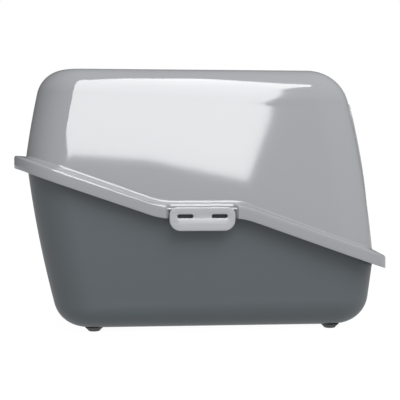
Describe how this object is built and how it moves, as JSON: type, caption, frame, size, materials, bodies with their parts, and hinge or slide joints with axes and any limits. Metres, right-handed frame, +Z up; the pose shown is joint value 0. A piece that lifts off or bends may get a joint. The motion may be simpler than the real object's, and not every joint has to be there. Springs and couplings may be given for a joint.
{
  "type": "hooded cat litter box",
  "caption": "Deep litter tray with a slanting rim under a clip-on hood, with a swinging flap door, folding handle and filter pocket.",
  "frame": {"origin": "middle of the object's base, on the floor", "axes": "+X to the front with the doorway, +Y to the box's right side as seen from in front of the doorway, +Z up"},
  "size_m": [0.56, 0.402, 0.3939],
  "materials": {
    "tray_plastic": "satin dark grey polypropylene",
    "hood_plastic": "glossy light grey polypropylene",
    "clip_plastic": "satin pale grey",
    "frame_plastic": "satin dark grey",
    "flap_plastic": "smoked see-through",
    "handle_plastic": "satin pale grey",
    "cover_plastic": "satin dark grey",
    "charcoal": "black charcoal felt",
    "foot_rubber": "matte dark grey"
  },
  "bodies": {
    "tray": {"tray": "tray_plastic", "foot_rear_left": "foot_rubber", "foot_rear_right": "foot_rubber", "foot_front_left": "foot_rubber", "foot_front_right": "foot_rubber"},
    "hood": {"hood": "hood_plastic", "door_frame": "frame_plastic", "charcoal_filter": "charcoal"},
    "door_flap": {"door_flap": "flap_plastic"},
    "clip_left": {"clip_left": "clip_plastic"},
    "clip_right": {"clip_right": "clip_plastic"},
    "carry_handle": {"carry_handle": "handle_plastic"},
    "filter_cover": {"filter_cover": "cover_plastic"}
  },
  "joints": [
    {"name": "hood_lift", "type": "slide", "parent": "tray", "child": "hood", "axis": [0, 0, 1], "range_m": [0, 0.2]},
    {"name": "door_swing", "type": "hinge", "parent": "hood", "child": "door_flap", "pos_m": [0.213, 0, 0.3189], "axis": [0, -1, 0], "range_deg": [-75, 80]},
    {"name": "clip_left_open", "type": "hinge", "parent": "hood", "child": "clip_left", "pos_m": [-0.0067, -0.1954, 0.1858], "axis": [-1, 0, 0], "range_deg": [0, 100]},
    {"name": "clip_right_open", "type": "hinge", "parent": "hood", "child": "clip_right", "pos_m": [-0.0067, 0.1954, 0.1858], "axis": [1, 0, 0], "range_deg": [0, 100]},
    {"name": "handle_fold", "type": "hinge", "parent": "hood", "child": "carry_handle", "pos_m": [-0.02847, 0, 0.38656], "axis": [0, -1, 0], "range_deg": [0, 95]},
    {"name": "filter_cover_open", "type": "hinge", "parent": "hood", "child": "filter_cover", "pos_m": [-0.16849, 0, 0.39055], "axis": [0, -1, 0], "range_deg": [0, 95]}
  ]
}
